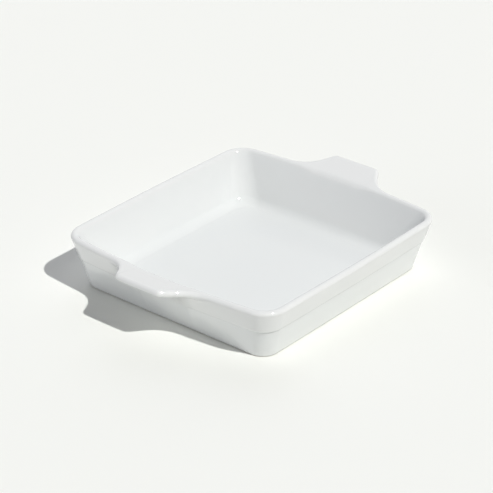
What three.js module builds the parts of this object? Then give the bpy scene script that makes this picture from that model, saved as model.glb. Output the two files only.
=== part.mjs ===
// A square baking dish of glazed white ceramic: one clay body with two flared handles, a glaze coat fused
// over it, and a second glaze patch on the underside, inside the bare foot ring that stood in the kiln.
// Millimetres, +Z up. The origin is the centre of the foot on the table, and the handles lie on the X axis.
import * as THREE from "three";

// Overall sizes of the clay body, between the middles of opposite sides
const RIM_LENGTH = 248;
const RIM_WIDTH = 229.6;
const RIM_HEIGHT = 49;
const BASE_LENGTH = 212;
const BASE_WIDTH = 201.8;

// Plan shape: round corners, and sides that bow out a little between them, the ends with the handles most
const RIM_CORNER_RADIUS = 21.5;
const BASE_CORNER_RADIUS = 14;
const RIM_END_BOW = 5.4;
const RIM_FLANK_BOW = 1.3;
const BASE_BOW = 0.3;

// Walls, rim and floor
const RIM_WALL = 4.8;
const BASE_WALL = 12.3;
const RIM_ROUND = 2.7;
const FLOOR_HEIGHT = 6.2;
const FLOOR_CORNER_RADIUS = 22;
const FLOOR_FILLET = 7;

// Collar: the band below the rim, which stands proud of the lower wall and ends in a small ledge
const COLLAR_HEIGHT = 21.2;
const COLLAR_STEP = 1;
const COLLAR_LEDGE = 1;

// Handles: tabs drawn out of the rim, straight at the tip and swept back into the rim on both sides
const HANDLE_REACH = 24.4;
const HANDLE_RISE = 4.6;
const HANDLE_TIP_WIDTH = 42;
const HANDLE_WAIST_WIDTH = 58.5;
const HANDLE_ROOT_WIDTH = 115;
const HANDLE_CREST_ROUND = 4.5;
const HANDLE_COVE_HEIGHT = 24;

// Foot: a flat ring, set in from the wall by a round heel, with a shallow well inside it
const FOOT_WIDTH = 5;
const FOOT_WELL_DEPTH = 1.5;
const HEEL_INSET = 1;
const HEEL_HEIGHT = 0.9;

const GLAZE_THICKNESS = 0.4;

// How finely the round forms are divided, over a quarter of the dish or one arc
const TIP_STEPS = 2;
const SWEEP_STEPS = 10;
const END_STEPS = 2;
const CORNER_STEPS = 6;
const FLANK_STEPS = 3;
const LEDGE_STEPS = 2;
const COVE_STEPS = 4;
const ROUND_STEPS = 3;
const FILLET_STEPS = 4;

const QUARTER_TURN = Math.PI / 2;
const mix = THREE.MathUtils.lerp;
const smoothstep = THREE.MathUtils.smoothstep;

// The radius of an arc that rises by bow over half its chord
function bowRadius(halfChord, bow) {
  return (halfChord * halfChord + bow * bow) / (2 * bow);
}

// Where two circles cross, on the side of positive X and Y
function crossing(centreA, radiusA, centreB, radiusB) {
  const between = centreB.clone().sub(centreA);
  const distance = between.length();
  const along = (radiusA ** 2 - radiusB ** 2 + distance ** 2) / (2 * distance);
  const aside = Math.sqrt(radiusA ** 2 - along ** 2);
  between.normalize();
  const foot = centreA.clone().addScaledVector(between, along);
  return foot.addScaledVector(new THREE.Vector2(-between.y, between.x), aside);
}

// A closed outline of eight tangent arcs, as a function of a station on it: the end arcs lie across X, where
// the handles are, the flank arcs lie across Y, and the corner arcs join them.
function outline(length, width, cornerRadius, endBow, flankBow) {
  const endRadius = bowRadius(width / 2 - cornerRadius, endBow);
  const flankRadius = bowRadius(length / 2 - cornerRadius, flankBow);
  const end = new THREE.Vector2(length / 2 - endRadius, 0);
  const flank = new THREE.Vector2(0, width / 2 - flankRadius);
  const corner = crossing(end, endRadius - cornerRadius, flank, flankRadius - cornerRadius);
  const endAngle = corner.clone().sub(end).angle();
  const flankAngle = corner.clone().sub(flank).angle();
  const arcs = {
    end: { centre: end, radius: endRadius, from: 0, to: endAngle },
    corner: { centre: corner, radius: cornerRadius, from: endAngle, to: flankAngle },
    flank: { centre: flank, radius: flankRadius, from: flankAngle, to: QUARTER_TURN },
  };
  return {
    endRadius,
    endAngle,
    at({ arc, share, mirror }) {
      const { centre, radius, from, to } = arcs[arc];
      const angle = mix(from, to, share);
      const normal = new THREE.Vector2(Math.cos(angle), Math.sin(angle));
      const point = centre.clone().addScaledVector(normal, radius);
      return { point: point.multiply(mirror), normal: normal.multiply(mirror) };
    },
  };
}

// The rim's and the base's outline drawn in by an inset; their corners stay round
function rimInset(inset) {
  const radius = Math.max(RIM_CORNER_RADIUS - inset, RIM_CORNER_RADIUS / 4);
  return outline(RIM_LENGTH - 2 * inset, RIM_WIDTH - 2 * inset, radius, RIM_END_BOW, RIM_FLANK_BOW);
}

function baseInset(inset) {
  const radius = Math.max(BASE_CORNER_RADIUS - inset, BASE_CORNER_RADIUS / 4);
  return outline(BASE_LENGTH - 2 * inset, BASE_WIDTH - 2 * inset, radius, BASE_BOW, BASE_BOW);
}

const rimOutline = rimInset(0);
const baseOutline = baseInset(0);
const mouthOutline = rimInset(RIM_WALL);
const floorOutline = outline(
  BASE_LENGTH - 2 * (BASE_WALL - wallFlare(FLOOR_HEIGHT, RIM_LENGTH - BASE_LENGTH)),
  BASE_WIDTH - 2 * (BASE_WALL - wallFlare(FLOOR_HEIGHT, RIM_WIDTH - BASE_WIDTH)),
  FLOOR_CORNER_RADIUS,
  BASE_BOW,
  BASE_BOW,
);

// How far the outer wall has leaned out at a height, where the rim is wider than the base by spread
function wallFlare(height, spread) {
  return (spread / 2) * wallShare(height);
}

// A height as a share of the outer wall, from its heel to the widest line of the rim
function wallShare(height) {
  return (height - HEEL_HEIGHT) / (RIM_HEIGHT - rimRound() - HEEL_HEIGHT);
}

// The rim's round outer edge takes up a little more than half of the wall's thickness, and its round inner
// edge takes up most of the rest
function rimRound() {
  return Math.min(RIM_ROUND, 0.57 * RIM_WALL);
}

function crestRound() {
  return 0.9 * (RIM_WALL - rimRound());
}

// Stations of a quarter of the dish, from the middle of a handle to the middle of a plain side. reach is the
// share of the handle's length that the rim is drawn out by.
function quarterStations() {
  const sweep = new THREE.CubicBezierCurve(
    new THREE.Vector2(HANDLE_TIP_WIDTH / 2, 1),
    new THREE.Vector2(HANDLE_WAIST_WIDTH / 2, 1),
    new THREE.Vector2(HANDLE_WAIST_WIDTH / 2, 0),
    new THREE.Vector2(HANDLE_ROOT_WIDTH / 2, 0),
  );
  const endShare = (y) => Math.asin(y / rimOutline.endRadius) / rimOutline.endAngle;
  const stations = [];
  for (let i = 0; i < TIP_STEPS; i++) {
    stations.push({ arc: "end", share: endShare((HANDLE_TIP_WIDTH / 2) * (i / TIP_STEPS)), reach: 1 });
  }
  for (const { x, y } of sweep.getPoints(SWEEP_STEPS)) {
    stations.push({ arc: "end", share: endShare(x), reach: y });
  }
  const rootShare = endShare(HANDLE_ROOT_WIDTH / 2);
  for (let i = 1; i <= END_STEPS; i++) {
    stations.push({ arc: "end", share: mix(rootShare, 1, i / END_STEPS), reach: 0 });
  }
  for (let i = 1; i <= CORNER_STEPS; i++) {
    stations.push({ arc: "corner", share: i / CORNER_STEPS, reach: 0 });
  }
  for (let i = 1; i <= FLANK_STEPS; i++) {
    stations.push({ arc: "flank", share: i / FLANK_STEPS, reach: 0 });
  }
  return stations;
}

// The stations all the way round, anticlockwise from the middle of the +X handle, with the line of the rim's
// edge, drawn out where a handle is, and the direction square to it
function ringOfStations() {
  const quarter = quarterStations();
  const last = quarter.length - 1;
  const mirrored = (station, x, y) => ({ ...station, mirror: new THREE.Vector2(x, y) });
  const ring = [
    ...quarter.map((station) => mirrored(station, 1, 1)),
    ...quarter.slice(0, last).reverse().map((station) => mirrored(station, -1, 1)),
    ...quarter.slice(1).map((station) => mirrored(station, -1, -1)),
    ...quarter.slice(1, last).reverse().map((station) => mirrored(station, 1, -1)),
  ];
  for (const station of ring) {
    station.drawn = HANDLE_REACH * station.reach;
    station.outward = station.mirror.x;
    station.edge = rimOutline.at(station).point.clone();
    station.edge.x += station.outward * station.drawn;
    station.edgeHeight = RIM_HEIGHT - rimRound() + HANDLE_RISE * station.reach;
    station.undercut = smoothstep(station.drawn, 0, 2 * rimRound());
  }
  ring.forEach((station, i) => {
    const next = ring[(i + 1) % ring.length].edge;
    const previous = ring[(i + ring.length - 1) % ring.length].edge;
    const along = next.clone().sub(previous).normalize();
    station.edgeNormal = new THREE.Vector2(along.y, -along.x);
  });
  return ring;
}

const ring = ringOfStations();

// A row is one closed line round the dish: a point for each station
const row = (place) => ring.map(place);
const raised = (point, height) => new THREE.Vector3(point.x, point.y, height);

function footRow(inset, height) {
  const line = baseInset(inset);
  return row((station) => raised(line.at(station).point, height));
}

// The outer wall without handles leans straight from the base to the rim
function plainWallPoint(station, height, inset) {
  const base = baseOutline.at(station);
  const point = base.point.lerp(rimOutline.at(station).point, wallShare(height));
  return point.addScaledVector(base.normal, -inset);
}

// The underside of a handle's round edge, at an angle below its widest line. Where there is no handle, it is
// the last of the collar.
function edgeBelow(station, angle) {
  const handle = Math.min(station.drawn / rimRound(), 1);
  const lean = (1 - handle) * rimRound() * Math.sin(angle);
  const tuck = handle * station.undercut * rimRound() * (1 - Math.cos(angle));
  const point = plainWallPoint(station, RIM_HEIGHT - rimRound() + lean, 0);
  point.x += station.outward * station.drawn;
  return point.addScaledVector(station.edgeNormal, -tuck);
}

// Below a handle the outer wall sweeps out in an elliptic cove, from the cove's start to the underside of the
// handle's edge
function wallPoint(station, height, inset) {
  const underside = station.edgeHeight - rimRound();
  const climb = THREE.MathUtils.clamp((height - HANDLE_COVE_HEIGHT) / (underside - HANDLE_COVE_HEIGHT), 0, 1);
  const cove = edgeBelow(station, -QUARTER_TURN).sub(plainWallPoint(station, underside, 0));
  const point = plainWallPoint(station, height, inset);
  return raised(point.addScaledVector(cove, 1 - Math.sqrt(1 - climb * climb)), height);
}

const ledgeHeight = RIM_HEIGHT - COLLAR_HEIGHT;

// The ledge under the collar fades out where a handle's cove takes its place
function stepAt(station, height) {
  const climb = THREE.MathUtils.clamp((height - HEEL_HEIGHT) / (ledgeHeight - HEEL_HEIGHT), 0, 1);
  const fade = 1 - smoothstep(station.reach, 0.3, 0.8);
  return COLLAR_STEP * fade * climb;
}

function lowerWallRow(height) {
  return row((station) => wallPoint(station, height, stepAt(station, height)));
}

// The round ledge, at an angle from its crease with the lower wall to the face of the collar
function ledgeRow(angle) {
  const height = ledgeHeight + COLLAR_LEDGE * (1 - Math.cos(angle));
  return row((station) => wallPoint(station, height, stepAt(station, height) * (1 - Math.sin(angle))));
}

// A row of the cove, at an angle from its upright start to its level end. On a plain side it lies on the
// collar.
function coveRow(angle, from) {
  return row((station) => {
    const underside = station.edgeHeight - rimRound();
    return wallPoint(station, mix(from, underside, Math.sin(angle)), 0);
  });
}

// The round edge of the rim and of the handles, from its underside or outer face (below 0) to its crest
function edgeRow(angle) {
  return row((station) => {
    const height = station.edgeHeight + rimRound() * Math.sin(angle);
    if (angle < 0) return raised(edgeBelow(station, angle), height);
    const inset = rimRound() * (1 - Math.cos(angle));
    return raised(station.edge.clone().addScaledVector(station.edgeNormal, -inset), height);
  });
}

// The inside wall leans straight from the floor's outline to the mouth of the rim; inset draws a point in
// from it
function insidePoint(station, height, inset) {
  const low = floorOutline.at(station);
  const climb = (height - FLOOR_HEIGHT) / (RIM_HEIGHT - FLOOR_HEIGHT);
  const point = low.point.lerp(mouthOutline.at(station).point, climb);
  return raised(point.addScaledVector(low.normal, -inset), height);
}

// The round inner edge of the rim, which turns the inside wall over onto the crest or onto the sloping top of
// a handle
function crestRow(angle) {
  return row((station) => {
    const round = mix(crestRound(), HANDLE_CREST_ROUND, smoothstep(station.reach, 0, 1));
    const slope = Math.atan(HANDLE_RISE / HANDLE_REACH) * station.reach;
    const turn = mix(slope, QUARTER_TURN, angle / QUARTER_TURN);
    const height = RIM_HEIGHT - round * (1 - Math.cos(turn));
    return insidePoint(station, height, -round * (1 - Math.sin(turn)));
  });
}

// The fillet that turns the inside wall into the floor
function filletRow(angle) {
  const fillet = Math.min(FLOOR_FILLET, 0.8 * FLOOR_CORNER_RADIUS);
  const height = FLOOR_HEIGHT + fillet * (1 - Math.sin(angle));
  return row((station) => insidePoint(station, height, fillet * (1 - Math.cos(angle))));
}

// Angles from one end of an arc to the other, both ends included or the first left out
const arcAngles = (from, to, steps, skip = 0) =>
  Array.from({ length: steps + 1 - skip }, (_, i) => mix(from, to, (i + skip) / steps));

// All rows of the clay body, from the well of the foot, over the outside and the rim, to the floor's edge
function bodyRows() {
  const collar = ledgeHeight + COLLAR_LEDGE;
  const underfoot = [
    footRow(HEEL_INSET + FOOT_WIDTH + FOOT_WELL_DEPTH, FOOT_WELL_DEPTH),
    footRow(HEEL_INSET + FOOT_WIDTH, 0),
    footRow(HEEL_INSET, 0),
    footRow(0.3 * HEEL_INSET, 0.3 * HEEL_HEIGHT),
  ];
  const outside = [
    lowerWallRow(HEEL_HEIGHT),
    lowerWallRow(HANDLE_COVE_HEIGHT),
    ...arcAngles(0, QUARTER_TURN, LEDGE_STEPS).map(ledgeRow),
    ...arcAngles(0, QUARTER_TURN, COVE_STEPS, 1).map((angle) => coveRow(angle, collar)),
    ...arcAngles(-QUARTER_TURN, 0, ROUND_STEPS, 1).map(edgeRow),
    ...arcAngles(0, QUARTER_TURN, ROUND_STEPS, 1).map(edgeRow),
  ];
  const inside = [
    ...arcAngles(0, QUARTER_TURN, ROUND_STEPS).map(crestRow),
    ...arcAngles(0, QUARTER_TURN, FILLET_STEPS).map(filletRow),
  ];
  return { rows: [...underfoot, ...outside, ...inside], firstGlazed: underfoot.length };
}

const { rows, firstGlazed } = bodyRows();
const well = new THREE.Vector3(0, 0, FOOT_WELL_DEPTH);
const floor = new THREE.Vector3(0, 0, FLOOR_HEIGHT);

// Triangles between neighbouring rows of a sheet, and fans to the poles that close its first or last row. The
// sheet's points are the first pole, if it has one, the rows in order, and the last pole, if it has one.
function sheetTriangles(rowCount, hasFirstPole, hasLastPole) {
  const width = ring.length;
  const start = hasFirstPole ? 1 : 0;
  const at = (i, j) => start + i * width + (j % width);
  const triangles = [];
  for (let j = 0; j < width; j++) {
    if (hasFirstPole) triangles.push([0, at(0, j + 1), at(0, j)]);
    for (let i = 0; i + 1 < rowCount; i++) {
      triangles.push([at(i, j), at(i, j + 1), at(i + 1, j + 1)]);
      triangles.push([at(i, j), at(i + 1, j + 1), at(i + 1, j)]);
    }
    if (hasLastPole) triangles.push([at(rowCount - 1, j), at(rowCount - 1, j + 1), start + rowCount * width]);
  }
  return triangles;
}

function geometryOf(points, triangles) {
  const geometry = new THREE.BufferGeometry().setFromPoints(points).setIndex(triangles.flat());
  geometry.computeVertexNormals();
  return geometry;
}

// The clay body is one closed sheet
function clayGeometry() {
  return geometryOf([well, ...rows.flat(), floor], sheetTriangles(rows.length, true, true));
}

// A glaze layer: a sheet of the body's own surface, the same sheet pushed out along the body's normals, and a
// strip round the open edge that joins the two
function glazeGeometry(clay, firstPoint, rowCount, poleLast) {
  const width = ring.length;
  const count = rowCount * width + 1;
  const place = clay.getAttribute("position");
  const normal = clay.getAttribute("normal");
  const indices = Array.from({ length: count }, (_, i) => firstPoint + i);
  const under = indices.map((i) => new THREE.Vector3().fromBufferAttribute(place, i));
  const over = indices.map((i, k) =>
    under[k].clone().addScaledVector(new THREE.Vector3().fromBufferAttribute(normal, i), GLAZE_THICKNESS),
  );
  const sheet = sheetTriangles(rowCount, !poleLast, poleLast);
  const edge = poleLast ? 0 : count - width;
  const strip = [];
  for (let j = 0; j < width; j++) {
    const a = edge + j;
    const b = edge + ((j + 1) % width);
    const [low, high] = poleLast ? [0, count] : [count, 0];
    strip.push([low + a, low + b, high + b], [low + a, high + b, high + a]);
  }
  const triangles = [
    ...sheet.map(([a, b, c]) => [a, c, b]),
    ...sheet.map((triangle) => triangle.map((i) => i + count)),
    ...strip,
  ];
  return geometryOf([...under, ...over], triangles);
}

const clay = clayGeometry();
const coat = glazeGeometry(clay, 1 + firstGlazed * ring.length, rows.length - firstGlazed, true);
const patch = glazeGeometry(clay, 0, 1, false);

const bareClay = new THREE.MeshStandardMaterial({ color: 0xe6e0d4, roughness: 0.85, metalness: 0 });
const whiteGlaze = new THREE.MeshStandardMaterial({ color: 0xeff1f0, roughness: 0.12, metalness: 0 });

function piece(name, geometry, material) {
  const mesh = new THREE.Mesh(geometry, material);
  mesh.name = name;
  return mesh;
}

const dish = new THREE.Group();
dish.add(
  piece("clay_body", clay, bareClay),
  piece("glaze_coat", coat, whiteGlaze),
  piece("base_glaze", patch, whiteGlaze),
);

export default dish;
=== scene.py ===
# A square baking dish of glazed white ceramic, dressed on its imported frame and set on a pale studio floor.
from math import cos, pi, radians, sin

import bpy
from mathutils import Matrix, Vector


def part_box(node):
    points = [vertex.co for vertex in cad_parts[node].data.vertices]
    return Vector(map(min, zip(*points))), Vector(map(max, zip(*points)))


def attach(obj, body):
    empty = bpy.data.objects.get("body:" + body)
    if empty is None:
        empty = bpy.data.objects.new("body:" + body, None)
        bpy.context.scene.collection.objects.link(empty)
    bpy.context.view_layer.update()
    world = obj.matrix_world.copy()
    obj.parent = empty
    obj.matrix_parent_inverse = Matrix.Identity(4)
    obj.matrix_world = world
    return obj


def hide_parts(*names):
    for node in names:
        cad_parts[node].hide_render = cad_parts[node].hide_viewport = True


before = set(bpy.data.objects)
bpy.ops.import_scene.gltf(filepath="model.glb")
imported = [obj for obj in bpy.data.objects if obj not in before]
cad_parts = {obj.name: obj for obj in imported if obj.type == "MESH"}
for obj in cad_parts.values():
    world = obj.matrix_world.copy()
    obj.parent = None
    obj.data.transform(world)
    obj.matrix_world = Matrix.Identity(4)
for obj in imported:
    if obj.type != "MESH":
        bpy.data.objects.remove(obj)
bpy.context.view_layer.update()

MM = 0.001

# Sizes of the clay body. Lengths and widths lie between the middles of opposite sides.
clay_low, clay_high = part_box("clay_body")
HANDLE_REACH = 24.4 * MM
DISH_SIZES = {
    "Rim Length": clay_high[0] - clay_low[0] - 2 * HANDLE_REACH,
    "Rim Width": clay_high[1] - clay_low[1],
    "Rim Height": 49 * MM,
    "Base Length": 212 * MM,
    "Base Width": 201.8 * MM,
    "Rim Corner Radius": 21.5 * MM,
    "Base Corner Radius": 14 * MM,
    "Rim End Bow": 5.4 * MM,
    "Rim Flank Bow": 1.3 * MM,
    "Base End Bow": 0.3 * MM,
    "Base Flank Bow": 0.3 * MM,
    "Rim Wall": 4.8 * MM,
    "Base Wall": 12.3 * MM,
    "Rim Round": 2.7 * MM,
    "Floor Height": 6.2 * MM,
    "Floor Corner Radius": 22 * MM,
    "Floor Fillet": 7 * MM,
    "Collar Height": 21.2 * MM,
    "Collar Step": 1 * MM,
    "Collar Ledge": 1 * MM,
    "Handle Reach": HANDLE_REACH,
    "Handle Rise": 4.6 * MM,
    "Handle Tip Width": 42 * MM,
    "Handle Waist Width": 58.5 * MM,
    "Handle Root Width": 115 * MM,
    "Handle Crest Round": 4.5 * MM,
    "Handle Cove Height": 24 * MM,
    "Foot Width": 5 * MM,
    "Foot Well Depth": 1.5 * MM,
    "Heel Inset": 1 * MM,
    "Heel Height": 0.9 * MM,
}

# Limits that keep neighbouring round forms apart when a size changes: shares of the rim's wall, of what the
# rim's round edge leaves of that wall, of the floor's corner radius, and of a corner that is drawn in
RIM_ROUND_LIMIT = 0.57
CREST_SHARE = 0.9
FILLET_LIMIT = 0.8
LEAST_CORNER = 0.25

# Where the collar's ledge starts to fade beside a handle, and over how much, as shares of the handle's reach
LEDGE_FADE_START = 0.3
LEDGE_FADE_SPAN = 0.5

# The glaze skin, its gap to the clay under it, and the ripples in it
GLAZE_THICKNESS = 0.4 * MM
GLAZE_CLEARANCE = 0.1 * MM
RIPPLE_HEIGHT = 0.08 * MM
RIPPLE_SIZE = 30 * MM

# The columns of a quarter of the dish: over the handle's tip, its sweep into the rim, the plain rest of the
# end, the corner and the flank
TIP_COLUMNS = 6
SWEEP_COLUMNS = 30
END_COLUMNS = 10
CORNER_COLUMNS = 18
FLANK_COLUMNS = 18
QUARTER_COLUMNS = TIP_COLUMNS + SWEEP_COLUMNS + END_COLUMNS + CORNER_COLUMNS + FLANK_COLUMNS

# Points nearer than this are welded, and a normal that a rule divides by is kept above the least one
WELD_DISTANCE = 0.01 * MM
LEAST_NORMAL = 0.01
QUARTER_TURN = pi / 2


class Rule:
    """A number worked out inside a node tree: arithmetic on it adds the nodes that do the sum."""

    def __init__(self, tree, socket):
        self.tree = tree
        self.socket = socket

    def math(self, operation, *values, clamp=False):
        node = self.tree.nodes.new("ShaderNodeMath")
        node.operation = operation
        node.use_clamp = clamp
        for socket, value in zip(node.inputs, values):
            feed(self.tree, socket, value)
        return Rule(self.tree, node.outputs[0])

    def __add__(self, other):
        return self.math("ADD", self, other)

    def __radd__(self, other):
        return self.math("ADD", other, self)

    def __sub__(self, other):
        return self.math("SUBTRACT", self, other)

    def __rsub__(self, other):
        return self.math("SUBTRACT", other, self)

    def __mul__(self, other):
        return self.math("MULTIPLY", self, other)

    def __rmul__(self, other):
        return self.math("MULTIPLY", other, self)

    def __truediv__(self, other):
        return self.math("DIVIDE", self, other)

    def __rtruediv__(self, other):
        return self.math("DIVIDE", other, self)

    def __neg__(self):
        return self.math("MULTIPLY", self, -1.0)

    def root(self):
        return self.math("SQRT", self)

    def sine(self):
        return self.math("SINE", self)

    def cosine(self):
        return self.math("COSINE", self)

    def arcsine(self):
        return self.math("ARCSINE", self)

    def angle_over(self, other):
        return self.math("ARCTAN2", self, other)

    def least(self, other):
        return self.math("MINIMUM", self, other)

    def most(self, other):
        return self.math("MAXIMUM", self, other)

    def clamped(self):
        return self.math("ADD", self, 0.0, clamp=True)

    def eased(self):
        return self * self * (3.0 - 2.0 * self)

    def towards(self, other, share):
        return self + (other - self) * share

    def where(self, test, other):
        node = self.tree.nodes.new("GeometryNodeSwitch")
        node.input_type = "FLOAT"
        feed(self.tree, node.inputs["Switch"], test)
        feed(self.tree, node.inputs["True"], self)
        feed(self.tree, node.inputs["False"], other)
        return Rule(self.tree, node.outputs[0])

    def above(self, limit):
        node = self.tree.nodes.new("FunctionNodeCompare")
        node.operation = "GREATER_THAN"
        feed(self.tree, node.inputs[0], self)
        feed(self.tree, node.inputs[1], limit)
        return Rule(self.tree, node.outputs[0])


def feed(tree, socket, value):
    """Link a rule, a node's output or a plain value to a socket."""
    if isinstance(value, Rule):
        tree.links.new(value.socket, socket)
    elif isinstance(value, bpy.types.NodeSocket):
        tree.links.new(value, socket)
    else:
        socket.default_value = value


def add_node(tree, kind, **inputs):
    """Add a node and feed its inputs by name, with spaces written as underscores."""
    node = tree.nodes.new(kind)
    for name, value in inputs.items():
        feed(tree, node.inputs[name.replace("_", " ")], value)
    return node


OUTLINE_SIZES = ("Length", "Width", "Corner Radius", "End Bow", "Flank Bow")
OUTLINE_SHARES = ("End Share", "Corner Share", "Flank Share")
OUTLINE_RESULTS = ("X", "Y", "Normal X", "Normal Y", "End Radius", "End Angle")


def outline_tree():
    """A closed outline of eight tangent arcs, as a group that gives its point at a station of one quarter.

    The end arcs lie across X, where the handles are, the flank arcs lie across Y, and corner arcs join them.
    """
    tree = bpy.data.node_groups.new("bowed outline", "GeometryNodeTree")
    for name in OUTLINE_SIZES + OUTLINE_SHARES:
        tree.interface.new_socket(name, in_out="INPUT", socket_type="NodeSocketFloat")
    for name in OUTLINE_RESULTS:
        tree.interface.new_socket(name, in_out="OUTPUT", socket_type="NodeSocketFloat")
    given = tree.nodes.new("NodeGroupInput")
    length, width, corner, end_bow, flank_bow = [Rule(tree, given.outputs[name]) for name in OUTLINE_SIZES]
    end_share, corner_share, flank_share = [Rule(tree, given.outputs[name]) for name in OUTLINE_SHARES]

    end_radius = bow_radius(width / 2.0 - corner, end_bow)
    flank_radius = bow_radius(length / 2.0 - corner, flank_bow)
    end_x = length / 2.0 - end_radius
    flank_y = width / 2.0 - flank_radius
    corner_x, corner_y = crossing(end_x, end_radius - corner, flank_y, flank_radius - corner)
    end_angle = corner_y.angle_over(corner_x - end_x)
    flank_lean = corner_x.angle_over(corner_y - flank_y)

    end = end_share * end_angle
    turn = end_angle + corner_share * (QUARTER_TURN - flank_lean - end_angle)
    lean = flank_lean * (1.0 - flank_share)
    half_end = (end / 2.0).sine()
    half_lean = (lean / 2.0).sine()
    end_place = (length / 2.0 - 2.0 * end_radius * half_end * half_end, end_radius * end.sine(), end)
    corner_place = (corner_x + corner * turn.cosine(), corner_y + corner * turn.sine(), turn)
    flank_place = (
        flank_radius * lean.sine(),
        width / 2.0 - 2.0 * flank_radius * half_lean * half_lean,
        QUARTER_TURN - lean,
    )
    on_corner = corner_share.above(0.0)
    on_flank = flank_share.above(0.0)
    x, y, angle = [
        by_flank.where(on_flank, by_corner.where(on_corner, by_end))
        for by_end, by_corner, by_flank in zip(end_place, corner_place, flank_place)
    ]
    out = tree.nodes.new("NodeGroupOutput")
    for name, rule in zip(OUTLINE_RESULTS, (x, y, angle.cosine(), angle.sine(), end_radius, end_angle)):
        feed(tree, out.inputs[name], rule)
    return tree


class Outline:
    """One outline at a station: its point, the direction square to it, and the measures of its end arc."""

    def __init__(self, group, sizes, shares=()):
        tree = sizes[0].tree
        node = tree.nodes.new("GeometryNodeGroup")
        node.node_tree = group
        for name, value in zip(OUTLINE_SIZES + OUTLINE_SHARES, (*sizes, *shares)):
            feed(tree, node.inputs[name], value)
        results = [Rule(tree, node.outputs[name]) for name in OUTLINE_RESULTS]
        self.x, self.y, self.normal_x, self.normal_y, self.end_radius, self.end_angle = results


def bow_radius(half_chord, bow):
    """The radius of an arc that rises by bow over half its chord."""
    return (half_chord * half_chord + bow * bow) / (2.0 * bow)


def crossing(end_x, end_radius, flank_y, flank_radius):
    """Where a circle centred on the X axis and one centred on the Y axis cross, at positive X and Y."""
    distance = (end_x * end_x + flank_y * flank_y).root()
    along = (end_radius * end_radius - flank_radius * flank_radius + distance * distance) / (2.0 * distance)
    aside = (end_radius * end_radius - along * along).root()
    step_x = -end_x / distance
    step_y = flank_y / distance
    return end_x + along * step_x - aside * step_y, along * step_y + aside * step_x


class Station:
    """Where a column of the grid stands: its shares of the arcs, and how far a handle is drawn out there."""

    def __init__(self, column, size, rim):
        tip = size["Handle Tip Width"] / 2.0
        waist = size["Handle Waist Width"] / 2.0
        root = size["Handle Root Width"] / 2.0
        first = 0
        shares = []
        for count in (TIP_COLUMNS, SWEEP_COLUMNS, END_COLUMNS, CORNER_COLUMNS, FLANK_COLUMNS):
            shares.append(((column - float(first)) / float(count)).clamped())
            first += count
        tip_share, sweep, plain_share, corner_share, flank_share = shares
        rest = 1.0 - sweep
        near = rest * rest * rest
        far = sweep * sweep * sweep
        aside = tip * (tip_share - 1.0 + near) + waist * (3.0 * rest * sweep) + root * far
        self.reach = near + 3.0 * rest * rest * sweep
        self.aside_slope = 3.0 * (rest * rest * (waist - tip) + sweep * sweep * (root - waist))
        self.reach_slope = -6.0 * sweep * rest
        end_share = (aside / rim.end_radius).arcsine() / rim.end_angle
        root_share = (root / rim.end_radius).arcsine() / rim.end_angle
        self.shares = (end_share + (1.0 - root_share) * plain_share, corner_share, flank_share)
        self.on_end = 1.0 - corner_share.above(0.0)


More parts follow.
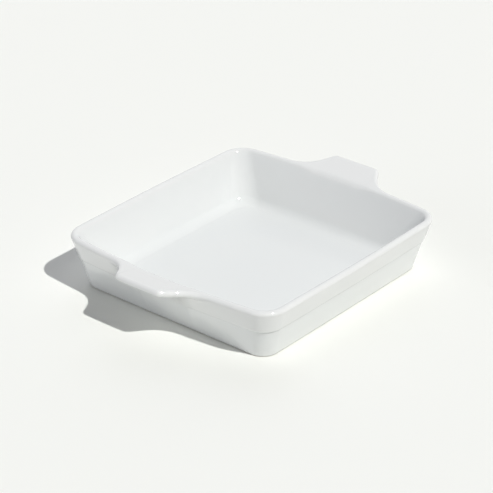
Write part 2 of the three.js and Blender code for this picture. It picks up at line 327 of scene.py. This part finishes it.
class DishRules:
    """The places of the dish's surface, from its sizes, a station round it and a share along each band."""

    def __init__(self, size, column, share):
        self.size = size
        self.share = share
        self.turn = share * QUARTER_TURN
        self.group = outline_tree()
        self.round = size["Rim Round"].least(RIM_ROUND_LIMIT * size["Rim Wall"])
        self.crest_round = CREST_SHARE * (size["Rim Wall"] - self.round)
        self.ledge = size["Rim Height"] - size["Collar Height"]
        self.wall_climb = size["Rim Height"] - self.round - size["Heel Height"]
        self.fillet = size["Floor Fillet"].least(FILLET_LIMIT * size["Floor Corner Radius"])
        self.station = Station(column, size, Outline(self.group, self.named_sizes("Rim")))
        self.rim = self.outline("Rim")
        self.base = self.outline("Base")
        self.mouth = self.outline("Rim", size["Rim Wall"])
        flare = (size["Floor Height"] - size["Heel Height"]) / self.wall_climb
        inset = 2.0 * size["Base Wall"]
        floor_sizes = (
            size["Base Length"] - inset + flare * (size["Rim Length"] - size["Base Length"]),
            size["Base Width"] - inset + flare * (size["Rim Width"] - size["Base Width"]),
            size["Floor Corner Radius"],
            size["Base End Bow"],
            size["Base Flank Bow"],
        )
        self.floor = Outline(self.group, floor_sizes, self.station.shares)
        self.drawn = size["Handle Reach"] * self.station.reach
        self.edge_height = size["Rim Height"] - self.round + size["Handle Rise"] * self.station.reach
        self.undercut = (self.drawn / (2.0 * self.round)).clamped().eased()
        self.underside = self.edge_height - self.round
        self.edge_normal_x, self.edge_normal_y = self.edge_normal()
        self.cove_x, self.cove_y = self.cove()

    def named_sizes(self, name):
        return [self.size[name + " " + part] for part in OUTLINE_SIZES]

    def outline(self, name, inset=None):
        """The rim's or the base's outline at this station, drawn in by an inset; its corners stay round."""
        length, width, radius, end_bow, flank_bow = self.named_sizes(name)
        if inset is not None:
            length = length - 2.0 * inset
            width = width - 2.0 * inset
            radius = (radius - inset).most(LEAST_CORNER * radius)
        return Outline(self.group, (length, width, radius, end_bow, flank_bow), self.station.shares)

    def edge_normal(self):
        """The direction square to the rim's edge, drawn out where a handle is."""
        drawn_slope = self.size["Handle Reach"] * self.station.reach_slope * self.station.on_end
        pace = self.station.aside_slope / self.rim.normal_x.most(LEAST_NORMAL)
        along_x = drawn_slope - self.rim.normal_y * pace
        along_y = self.rim.normal_x * pace
        length = (along_x * along_x + along_y * along_y).root()
        return along_y / length, -along_x / length

    def cove(self):
        """How far the wall sweeps out under a handle, from its plain course to the handle's edge."""
        edge_x, edge_y, _ = self.edge_below(-1.0, 0.0)
        wall_x, wall_y = self.plain_wall(self.underside, 0.0)
        return edge_x - wall_x, edge_y - wall_y

    def foot(self, start_inset, end_inset, start_height, end_height):
        """A band of the foot, between two insets from the base outline."""
        low = self.outline("Base", start_inset)
        high = self.outline("Base", end_inset)
        share = self.share
        return (
            low.x.towards(high.x, share),
            low.y.towards(high.y, share),
            start_height + share * (end_height - start_height),
        )

    def well(self):
        """The ceiling of the foot's well, from its centre to its edge, with close rows at the edge."""
        edge = self.outline("Base", self.well_inset())
        spread = self.share * (2.0 - self.share)
        return edge.x * spread, edge.y * spread, self.size["Foot Well Depth"]

    def well_inset(self):
        return self.size["Heel Inset"] + self.size["Foot Width"] + self.size["Foot Well Depth"]

    def well_side(self):
        ring = self.size["Heel Inset"] + self.size["Foot Width"]
        return self.foot(self.well_inset(), ring, self.size["Foot Well Depth"], 0.0)

    def foot_face(self):
        ring = self.size["Heel Inset"] + self.size["Foot Width"]
        return self.foot(ring, self.size["Heel Inset"], 0.0, 0.0)

    def heel(self):
        """The round heel between the foot ring and the wall."""
        line = self.outline("Base", self.size["Heel Inset"] * (1.0 - self.turn.sine()))
        return line.x, line.y, self.size["Heel Height"] * (1.0 - self.turn.cosine())

    def plain_wall(self, height, inset):
        """A point of the outer wall without handles, which leans straight from the base to the rim."""
        share = (height - self.size["Heel Height"]) / self.wall_climb
        x = self.base.x.towards(self.rim.x, share) - self.base.normal_x * inset
        y = self.base.y.towards(self.rim.y, share) - self.base.normal_y * inset
        return x, y

    def wall(self, height, inset):
        """A point of the outer wall, which sweeps out to a handle's edge in an elliptic cove."""
        start = self.size["Handle Cove Height"]
        climb = ((height - start) / (self.underside - start)).clamped()
        swept = 1.0 - (1.0 - climb * climb).root()
        x, y = self.plain_wall(height, inset)
        return x + swept * self.cove_x, y + swept * self.cove_y, height

    def step(self):
        """How far the wall is set back under the collar; it fades where a handle's cove takes its place."""
        fade = ((self.station.reach - LEDGE_FADE_START) / LEDGE_FADE_SPAN).clamped().eased()
        return self.size["Collar Step"] * (1.0 - fade)

    def lower_wall(self):
        """The wall up to the collar, with close rows at both ends, where its glaze rounds off."""
        start = self.size["Heel Height"]
        climb = self.share.eased()
        return self.wall(start + climb * (self.ledge - start), self.step() * climb)

    def collar_ledge(self):
        """The round ledge, from its crease with the lower wall to the face of the collar."""
        height = self.ledge + self.size["Collar Ledge"] * (1.0 - self.turn.cosine())
        return self.wall(height, self.step() * (1.0 - self.turn.sine()))

    def collar(self):
        """The collar, or the cove under a handle, with close rows at its top, where a cove turns level."""
        start = self.ledge + self.size["Collar Ledge"]
        return self.wall(start + self.turn.sine() * (self.underside - start), 0.0)

    def edge_below(self, sine, cosine):
        """The underside of a handle's round edge, or the last of the collar where there is no handle."""
        handle = (self.drawn / self.round).clamped()
        lean = (1.0 - handle) * self.round * sine / self.wall_climb
        tuck = handle * self.undercut * self.round * (1.0 - cosine)
        x = self.rim.x + self.drawn + (self.rim.x - self.base.x) * lean - self.edge_normal_x * tuck
        y = self.rim.y + (self.rim.y - self.base.y) * lean - self.edge_normal_y * tuck
        return x, y, self.edge_height + self.round * sine

    def edge_above(self, sine, cosine):
        """The upper half of the round edge of the rim and the handles."""
        inset = self.round * (1.0 - cosine)
        x = self.rim.x + self.drawn - self.edge_normal_x * inset
        y = self.rim.y - self.edge_normal_y * inset
        return x, y, self.edge_height + self.round * sine

    def lower_edge(self):
        angle = self.turn - QUARTER_TURN
        return self.edge_below(angle.sine(), angle.cosine())

    def upper_edge(self):
        return self.edge_above(self.turn.sine(), self.turn.cosine())

    def crest(self, turned):
        """The round inner edge of the rim, which turns from the crest or a handle's top to the inside."""
        radius = self.crest_round.towards(self.size["Handle Crest Round"], self.station.reach.eased())
        slope = self.size["Handle Rise"].angle_over(self.size["Handle Reach"]) * self.station.reach
        angle = slope.towards(QUARTER_TURN, turned)
        height = self.size["Rim Height"] - radius * (1.0 - angle.cosine())
        return self.inside(height, radius * (angle.sine() - 1.0))

    def handle_top(self):
        outer = self.edge_above(1.0, 0.0)
        inner = self.crest(0.0)
        return tuple(start.towards(end, self.share) for start, end in zip(outer, inner))

    def inner_crest(self):
        return self.crest(self.share)

    def inside(self, height, inset):
        """A point of the inside wall, which leans straight from the floor's outline to the rim's mouth."""
        low = self.size["Floor Height"]
        share = (height - low) / (self.size["Rim Height"] - low)
        x = self.floor.x.towards(self.mouth.x, share) - self.floor.normal_x * inset
        y = self.floor.y.towards(self.mouth.y, share) - self.floor.normal_y * inset
        return x, y, height

    def inner_wall(self):
        top = self.crest(1.0)
        bottom = self.inside(self.size["Floor Height"] + self.fillet, 0.0)
        return tuple(start.towards(end, self.share) for start, end in zip(top, bottom))

    def floor_fillet(self):
        height = self.size["Floor Height"] + self.fillet * (1.0 - self.turn.sine())
        return self.inside(height, self.fillet * (1.0 - self.turn.cosine()))

    def dish_floor(self):
        x, y, height = self.inside(self.size["Floor Height"], self.fillet)
        rest = 1.0 - self.share
        return x * rest, y * rest, height


# The bands of a section, from the centre of the well, over the outside and the rim, to the floor's centre.
# Each has its rule, its count of rows, and how thin the glaze has run at its first and its last row: it thins
# over edges and pools in hollows.
WELL_BANDS = ((DishRules.well, 8, 0.1, 0.3),)
FOOT_BANDS = (
    (DishRules.well_side, 3, 0.3, 0.3),
    (DishRules.foot_face, 4, 0.3, 0.3),
    (DishRules.heel, 6, 0.3, 0.3),
)
DISH_BANDS = (
    (DishRules.lower_wall, 12, 0.3, 0.0),
    (DishRules.collar_ledge, 6, 0.0, 0.8),
    (DishRules.collar, 14, 0.8, 0.5),
    (DishRules.lower_edge, 6, 0.5, 0.8),
    (DishRules.upper_edge, 7, 0.8, 1.0),
    (DishRules.handle_top, 8, 1.0, 1.0),
    (DishRules.inner_crest, 8, 1.0, 0.7),
    (DishRules.inner_wall, 12, 0.7, 0.1),
    (DishRules.floor_fillet, 12, 0.1, 0.0),
    (DishRules.dish_floor, 12, 0.0, 0.1),
)
PIECE_AREAS = {"With Well": WELL_BANDS, "With Foot": FOOT_BANDS, "With Dish": DISH_BANDS}

# The attribute that tells the finish how thin the glaze has run
THINNED = "thinned glaze"


def band_grid(tree, rules, rule, rows, thin_from, thin_to):
    """A grid laid into the place that a band's rule gives, marked with how thin its glaze is."""
    grid = add_node(
        tree, "GeometryNodeMeshGrid", Size_X=float(QUARTER_COLUMNS), Size_Y=1.0,
        Vertices_X=QUARTER_COLUMNS + 1, Vertices_Y=rows + 1,
    )
    x, y, z = rule(rules)
    place = add_node(tree, "ShaderNodeCombineXYZ", X=x, Y=y, Z=z)
    laid = add_node(
        tree, "GeometryNodeSetPosition", Geometry=grid.outputs["Mesh"], Position=place.outputs[0]
    )
    marked = add_node(
        tree, "GeometryNodeStoreNamedAttribute", Geometry=laid.outputs[0], Name=THINNED,
        Value=thin_from + (thin_to - thin_from) * rules.share,
    )
    return marked.outputs[0]


def joined(tree, parts):
    """Shapes put together into one."""
    join = tree.nodes.new("GeometryNodeJoinGeometry")
    for part in parts:
        tree.links.new(part, join.inputs[0])
    return join.outputs[0]


def mirrored(tree, part, scale):
    """A shape together with its mirror image, with the image's faces turned to point outwards again."""
    image = add_node(tree, "GeometryNodeTransform", Geometry=part, Scale=scale)
    turned = add_node(tree, "GeometryNodeFlipFaces", Mesh=image.outputs[0])
    return joined(tree, [part, turned.outputs[0]])


def switched(tree, test, part):
    """A shape that is there only if the test holds."""
    node = tree.nodes.new("GeometryNodeSwitch")
    node.input_type = "GEOMETRY"
    feed(tree, node.inputs["Switch"], test)
    feed(tree, node.inputs["True"], part)
    return node.outputs[0]


def dish_tree():
    """The tree that lays out the whole dish from its sizes: a quarter of it, mirrored twice and welded."""
    tree = bpy.data.node_groups.new("baking dish surface", "GeometryNodeTree")
    face = tree.interface
    for name, value in DISH_SIZES.items():
        socket = face.new_socket(name, in_out="INPUT", socket_type="NodeSocketFloat")
        socket.subtype = "DISTANCE"
        socket.default_value = value
    for name in ("Skin", "Ripple Height", "Ripple Size"):
        socket = face.new_socket(name, in_out="INPUT", socket_type="NodeSocketFloat")
        socket.subtype = "DISTANCE"
    for name in PIECE_AREAS:
        face.new_socket(name, in_out="INPUT", socket_type="NodeSocketBool")
    face.new_socket("Material", in_out="INPUT", socket_type="NodeSocketMaterial")
    face.new_socket("Geometry", in_out="OUTPUT", socket_type="NodeSocketGeometry")

    given = tree.nodes.new("NodeGroupInput")
    size = {name: Rule(tree, given.outputs[name]) for name in DISH_SIZES}
    # The grids lie round the origin: X counts their columns, and Y is the share along a band.
    position = tree.nodes.new("GeometryNodeInputPosition")
    apart = add_node(tree, "ShaderNodeSeparateXYZ", Vector=position.outputs[0])
    column = Rule(tree, apart.outputs["X"]) + QUARTER_COLUMNS / 2
    share = Rule(tree, apart.outputs["Y"]) + 0.5
    rules = DishRules(size, column, share)

    areas = []
    for switch, bands in PIECE_AREAS.items():
        grids = [band_grid(tree, rules, *band) for band in bands]
        areas.append(switched(tree, given.outputs[switch], joined(tree, grids)))
    quarter = joined(tree, areas)
    half = mirrored(tree, quarter, (-1.0, 1.0, 1.0))
    whole = mirrored(tree, half, (1.0, -1.0, 1.0))
    welded = add_node(tree, "GeometryNodeMergeByDistance", Geometry=whole, Distance=WELD_DISTANCE)

    noise = add_node(tree, "ShaderNodeTexNoise", Detail=1.0)
    feed(tree, noise.inputs["Scale"], 1.0 / Rule(tree, given.outputs["Ripple Size"]))
    ripple = (Rule(tree, noise.outputs["Fac"]) - 0.5) * Rule(tree, given.outputs["Ripple Height"])
    push = Rule(tree, given.outputs["Skin"]) + ripple
    normal = tree.nodes.new("GeometryNodeInputNormal")
    offset = tree.nodes.new("ShaderNodeVectorMath")
    offset.operation = "SCALE"
    feed(tree, offset.inputs[0], normal.outputs["Normal"])
    feed(tree, offset.inputs["Scale"], push)
    skinned = add_node(
        tree, "GeometryNodeSetPosition", Geometry=welded.outputs[0], Offset=offset.outputs[0]
    )
    smooth = add_node(tree, "GeometryNodeSetShadeSmooth", Geometry=skinned.outputs[0], Shade_Smooth=True)
    real = add_node(tree, "GeometryNodeRealizeInstances", Geometry=smooth.outputs[0])
    finished = add_node(
        tree, "GeometryNodeSetMaterial", Geometry=real.outputs[0], Material=given.outputs["Material"]
    )
    out = tree.nodes.new("NodeGroupOutput")
    tree.links.new(finished.outputs[0], out.inputs["Geometry"])
    return tree


def set_inputs(modifier, values):
    """Set a modifier's inputs by their sockets' identifiers."""
    for item in modifier.node_group.interface.items_tree:
        if item.item_type == "SOCKET" and item.in_out == "INPUT" and item.name in values:
            modifier[item.identifier] = values[item.name]


def placed(name, data):
    """A new object in the scene, at the origin."""
    thing = bpy.data.objects.new(name, data)
    bpy.context.scene.collection.objects.link(thing)
    return thing


def dish_piece(name, tree, values, thickness=0.0):
    """A piece laid out by the tree, given a thickness if it is an open skin, and turned into a plain mesh."""
    piece = placed(name, bpy.data.meshes.new(name))
    laid = piece.modifiers.new("surface", "NODES")
    laid.node_group = tree
    set_inputs(laid, {**DISH_SIZES, **values})
    if thickness:
        wall = piece.modifiers.new("thickness", "SOLIDIFY")
        wall.thickness = thickness
        wall.offset = -1.0
    seen = piece.evaluated_get(bpy.context.evaluated_depsgraph_get())
    mesh = bpy.data.meshes.new_from_object(seen)
    piece.modifiers.clear()
    piece.data = mesh
    mesh.name = name
    return piece


# Glaze where it pools, where it runs thin over an edge, and the grey of a pinhole: painted shade in its pit.
# Its tone drifts from patch to patch, and the depth of a pinhole is counted in heights of the orange peel.
POOLED_GLAZE = (0.757, 0.775, 0.770, 1.0)
THIN_GLAZE = (0.773, 0.778, 0.771, 1.0)
PINHOLE_SHADE = (0.60, 0.60, 0.58, 1.0)
GLAZE_DRIFT = 0.8
GLAZE_ROUGHNESS = 0.05
PATCH_ROUGHNESS = 0.04
PINHOLE_ROUGHNESS = 0.3
ORANGE_PEEL = 0.006 * MM
PINHOLE_DEPTH = 4.0
GLAZE_IOR = 1.55

# Clay, the paler tone that it drifts to, and its iron specks
BARE_CLAY = (0.70, 0.655, 0.585, 1.0)
PALE_CLAY = (0.76, 0.725, 0.66, 1.0)
IRON_SPECK = (0.36, 0.27, 0.19, 1.0)
CLAY_DRIFT = 1.6
CLAY_ROUGHNESS = 0.72
GRAIN_ROUGHNESS = 0.25
GRAIN_DEPTH = 0.05 * MM

# The marks of the kiln on each: the sizes of patches, grain and specks, and the share of the specks that show
GLAZE_MARKS = {
    "Patch Size": 40 * MM,
    "Grain Size": 2.5 * MM,
    "Speck Spacing": 14 * MM,
    "Speck Size": 0.35 * MM,
    "Speck Share": 0.12,
}
CLAY_MARKS = {
    "Patch Size": 18 * MM,
    "Grain Size": 0.6 * MM,
    "Speck Spacing": 3 * MM,
    "Speck Size": 0.4 * MM,
    "Speck Share": 0.2,
}
MARKS = ("Patch", "Grain", "Speck")


def kiln_marks_group():
    """What the kiln leaves on a fired surface: slow patches of tone, a fine grain, and sparse specks."""
    tree = bpy.data.node_groups.new("kiln marks", "ShaderNodeTree")
    for name in GLAZE_MARKS:
        tree.interface.new_socket(name, in_out="INPUT", socket_type="NodeSocketFloat")
    for name in MARKS:
        tree.interface.new_socket(name, in_out="OUTPUT", socket_type="NodeSocketFloat")
    given = tree.nodes.new("NodeGroupInput")
    patch_size, grain_size, spacing, speck_size, speck_share = [
        Rule(tree, given.outputs[name]) for name in GLAZE_MARKS
    ]
    place = tree.nodes.new("ShaderNodeTexCoord").outputs["Object"]
    patch = add_node(tree, "ShaderNodeTexNoise", Vector=place, Scale=1.0 / patch_size, Detail=2.0)
    grain = add_node(tree, "ShaderNodeTexNoise", Vector=place, Scale=1.0 / grain_size, Detail=3.0)
    cells = add_node(tree, "ShaderNodeTexVoronoi", Vector=place, Scale=1.0 / spacing)
    lot = add_node(tree, "ShaderNodeSeparateColor", Color=cells.outputs["Color"])
    chosen = speck_share.math("GREATER_THAN", speck_share, lot.outputs["Red"])
    near = (1.0 - Rule(tree, cells.outputs["Distance"]) * spacing / speck_size).clamped()
    out = tree.nodes.new("NodeGroupOutput")
    for name, value in zip(MARKS, (patch.outputs["Fac"], grain.outputs["Fac"], chosen * near.eased())):
        feed(tree, out.inputs[name], value)
    return tree


def kiln_marks(tree, group, sizes):
    """The marks on one material, at that material's own sizes."""
    node = tree.nodes.new("ShaderNodeGroup")
    node.node_tree = group
    for name, size in sizes.items():
        feed(tree, node.inputs[name], size)
    return [Rule(tree, node.outputs[name]) for name in MARKS]


def blended(tree, share, first, second):
    """A colour between two others."""
    node = tree.nodes.new("ShaderNodeMix")
    node.data_type = "RGBA"
    for name, value in (("Factor_Float", share), ("A_Color", first), ("B_Color", second)):
        feed(tree, next(socket for socket in node.inputs if socket.identifier == name), value)
    return next(socket for socket in node.outputs if socket.identifier == "Result_Color")


def relief(tree, height, depth):
    """Fine relief of a given depth, as a normal."""
    return add_node(tree, "ShaderNodeBump", Strength=1.0, Distance=depth, Height=height).outputs["Normal"]


def new_material(name):
    """A new material, with its node tree and its shader."""
    material = bpy.data.materials.new(name)
    material.use_nodes = True
    return material, material.node_tree, material.node_tree.nodes["Principled BSDF"]


def glaze_material(marks):
    """White gloss glaze: cooler where it pools, warmer where it runs thin, with orange peel and pinholes
    greyed by painted shade.
    """
    material, tree, shader = new_material("white glaze")
    patch, grain, pinhole_and_shade = kiln_marks(tree, marks, GLAZE_MARKS)
    attribute = tree.nodes.new("ShaderNodeAttribute")
    attribute.attribute_name = THINNED
    thin = (Rule(tree, attribute.outputs["Fac"]) + (patch - 0.5) * GLAZE_DRIFT).clamped()
    glaze = blended(tree, thin, POOLED_GLAZE, THIN_GLAZE)
    # Pinholes are greyed here: painted shade in their pits, whose dent comes from the relief below.
    feed(tree, shader.inputs["Base Color"], blended(tree, pinhole_and_shade, glaze, PINHOLE_SHADE))
    roughness = GLAZE_ROUGHNESS + PATCH_ROUGHNESS * patch + PINHOLE_ROUGHNESS * pinhole_and_shade
    feed(tree, shader.inputs["Roughness"], roughness)
    feed(tree, shader.inputs["Normal"], relief(tree, grain - PINHOLE_DEPTH * pinhole_and_shade, ORANGE_PEEL))
    shader.inputs["IOR"].default_value = GLAZE_IOR
    return material


def clay_material(marks):
    """Bare fired clay: warm off-white, dry and grainy, with a few iron specks."""
    material, tree, shader = new_material("bare clay")
    patch, grain, speck = kiln_marks(tree, marks, CLAY_MARKS)
    drift = ((patch - 0.5) * CLAY_DRIFT + grain).clamped()
    clay = blended(tree, drift, BARE_CLAY, PALE_CLAY)
    feed(tree, shader.inputs["Base Color"], blended(tree, speck, clay, IRON_SPECK))
    feed(tree, shader.inputs["Roughness"], CLAY_ROUGHNESS + GRAIN_ROUGHNESS * grain)
    feed(tree, shader.inputs["Normal"], relief(tree, grain, GRAIN_DEPTH))
    return material


marks = kiln_marks_group()
white_glaze = glaze_material(marks)
bare_clay = clay_material(marks)

surface = dish_tree()
every_area = {name: True for name in PIECE_AREAS}
clay_values = {**every_area, "Ripple Size": RIPPLE_SIZE, "Material": bare_clay}
glaze_values = {
    "Skin": GLAZE_THICKNESS,
    "Ripple Height": RIPPLE_HEIGHT,
    "Ripple Size": RIPPLE_SIZE,
    "Material": white_glaze,
}
skin_thickness = GLAZE_THICKNESS - GLAZE_CLEARANCE
clay = dish_piece("clay_shell", surface, clay_values)
coat = dish_piece("glaze_skin", surface, {**glaze_values, "With Dish": True}, skin_thickness)
well_coat = dish_piece("well_glaze_skin", surface, {**glaze_values, "With Well": True}, skin_thickness)

for piece, node, slot in (
    (clay, "clay_body", "bare_clay"),
    (coat, "glaze_coat", "white_glaze"),
    (well_coat, "base_glaze", "white_glaze"),
):
    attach(piece, "root")
    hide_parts(node)


# The backdrop that eye and gloss see, and the floor, with half its width in metres
PALE_BACKDROP = (0.93, 0.94, 0.90, 1.0)
FLOOR_COLOUR = (0.893, 0.898, 0.857, 1.0)
FLOOR_ROUGHNESS = 0.9
FLOOR_HALF = 4.0

# The sun shines from the front right and throws a crisp shadow to the left; it travels along this line
SUN_TRAVEL = Vector((0.08, 0.82, -1.0))
SUN_STRENGTH = 2.75
SUN_COLOUR = (1.0, 0.997, 0.985)
SUN_ANGLE = radians(1.5)

# Soft fill: a little from all round, and more from two pale screens, behind the dish and low to its left
FILL_COLOUR = (0.92, 0.935, 1.0, 1.0)
FILL_ALL_ROUND = 0.06
SCREEN_STRENGTH = 1.48
SCREEN_FOCUS = 6.0
BACK_SCREEN = Vector((0.71, 0.41, 0.57)).normalized()
LEFT_SCREEN = Vector((-0.86, 0.5, 0.14)).normalized()

# The photograph's view: the point it looks at, its direction round and above that point, its distance in
# metres, and its sensor and lens in millimetres
CAMERA_TARGET = Vector((-0.14 * MM, 6.98 * MM, 25 * MM))
CAMERA_AZIMUTH = radians(-50.29)
CAMERA_ELEVATION = radians(27.77)
CAMERA_DISTANCE = 1.817
CAMERA_SENSOR = 36.0
CAMERA_LENS = 153.63


def studio_floor():
    """A wide, plain, pale floor."""
    corners = [(-1, -1), (1, -1), (1, 1), (-1, 1)]
    mesh = bpy.data.meshes.new("studio_floor")
    mesh.from_pydata([(x * FLOOR_HALF, y * FLOOR_HALF, 0.0) for x, y in corners], [], [(0, 1, 2, 3)])
    material, _, paint = new_material("pale floor")
    paint.inputs["Base Color"].default_value = FLOOR_COLOUR
    paint.inputs["Roughness"].default_value = FLOOR_ROUGHNESS
    mesh.materials.append(material)
    placed("studio_floor", mesh)


def key_light():
    """The sun, which throws the dish's shadow."""
    sun = bpy.data.lights.new("sun", "SUN")
    sun.energy = SUN_STRENGTH
    sun.color = SUN_COLOUR
    sun.angle = SUN_ANGLE
    placed("sun", sun).rotation_euler = SUN_TRAVEL.to_track_quat("-Z", "Y").to_euler()


def light_from_screen(tree, direction, side):
    """How much of the light from a direction comes from a pale screen that stands to one side."""
    facing = tree.nodes.new("ShaderNodeVectorMath")
    facing.operation = "DOT_PRODUCT"
    feed(tree, facing.inputs[0], direction)
    feed(tree, facing.inputs[1], side)
    share = Rule(tree, facing.outputs["Value"]).clamped()
    return SCREEN_STRENGTH * share.math("POWER", share, SCREEN_FOCUS)


def fill_light():
    """The studio round the dish: a soft fill for surfaces, and a plain pale backdrop for eye and gloss."""
    world = bpy.data.worlds.new("studio")
    bpy.context.scene.world = world
    world.use_nodes = True
    tree = world.node_tree
    direction = tree.nodes.new("ShaderNodeTexCoord").outputs["Generated"]
    behind = light_from_screen(tree, direction, BACK_SCREEN)
    beside = light_from_screen(tree, direction, LEFT_SCREEN)
    strength = FILL_ALL_ROUND + behind + beside
    path = tree.nodes.new("ShaderNodeLightPath")
    seen = Rule(tree, path.outputs["Is Camera Ray"])
    seen = seen.most(Rule(tree, path.outputs["Is Glossy Ray"]))
    seen = seen.most(Rule(tree, path.outputs["Is Transmission Ray"]))
    soft = add_node(tree, "ShaderNodeBackground", Color=FILL_COLOUR, Strength=strength)
    backdrop = add_node(tree, "ShaderNodeBackground", Color=PALE_BACKDROP, Strength=1.0)
    choice = tree.nodes.new("ShaderNodeMixShader")
    for socket, value in zip(choice.inputs, (seen, soft.outputs[0], backdrop.outputs[0])):
        feed(tree, socket, value)
    feed(tree, tree.nodes["World Output"].inputs["Surface"], choice.outputs[0])


def photo_camera():
    """The camera that sees the dish as the photograph does."""
    data = bpy.data.cameras.new("camera")
    data.sensor_width = CAMERA_SENSOR
    data.lens = CAMERA_LENS
    camera = placed("camera", data)
    level = cos(CAMERA_ELEVATION)
    back = Vector((sin(CAMERA_AZIMUTH) * level, -cos(CAMERA_AZIMUTH) * level, sin(CAMERA_ELEVATION)))
    camera.location = CAMERA_TARGET + back * CAMERA_DISTANCE
    camera.rotation_euler = back.to_track_quat("Z", "Y").to_euler()
    bpy.context.scene.camera = camera


studio_floor()
key_light()
fill_light()
photo_camera()
bpy.context.scene.view_settings.view_transform = "Standard"
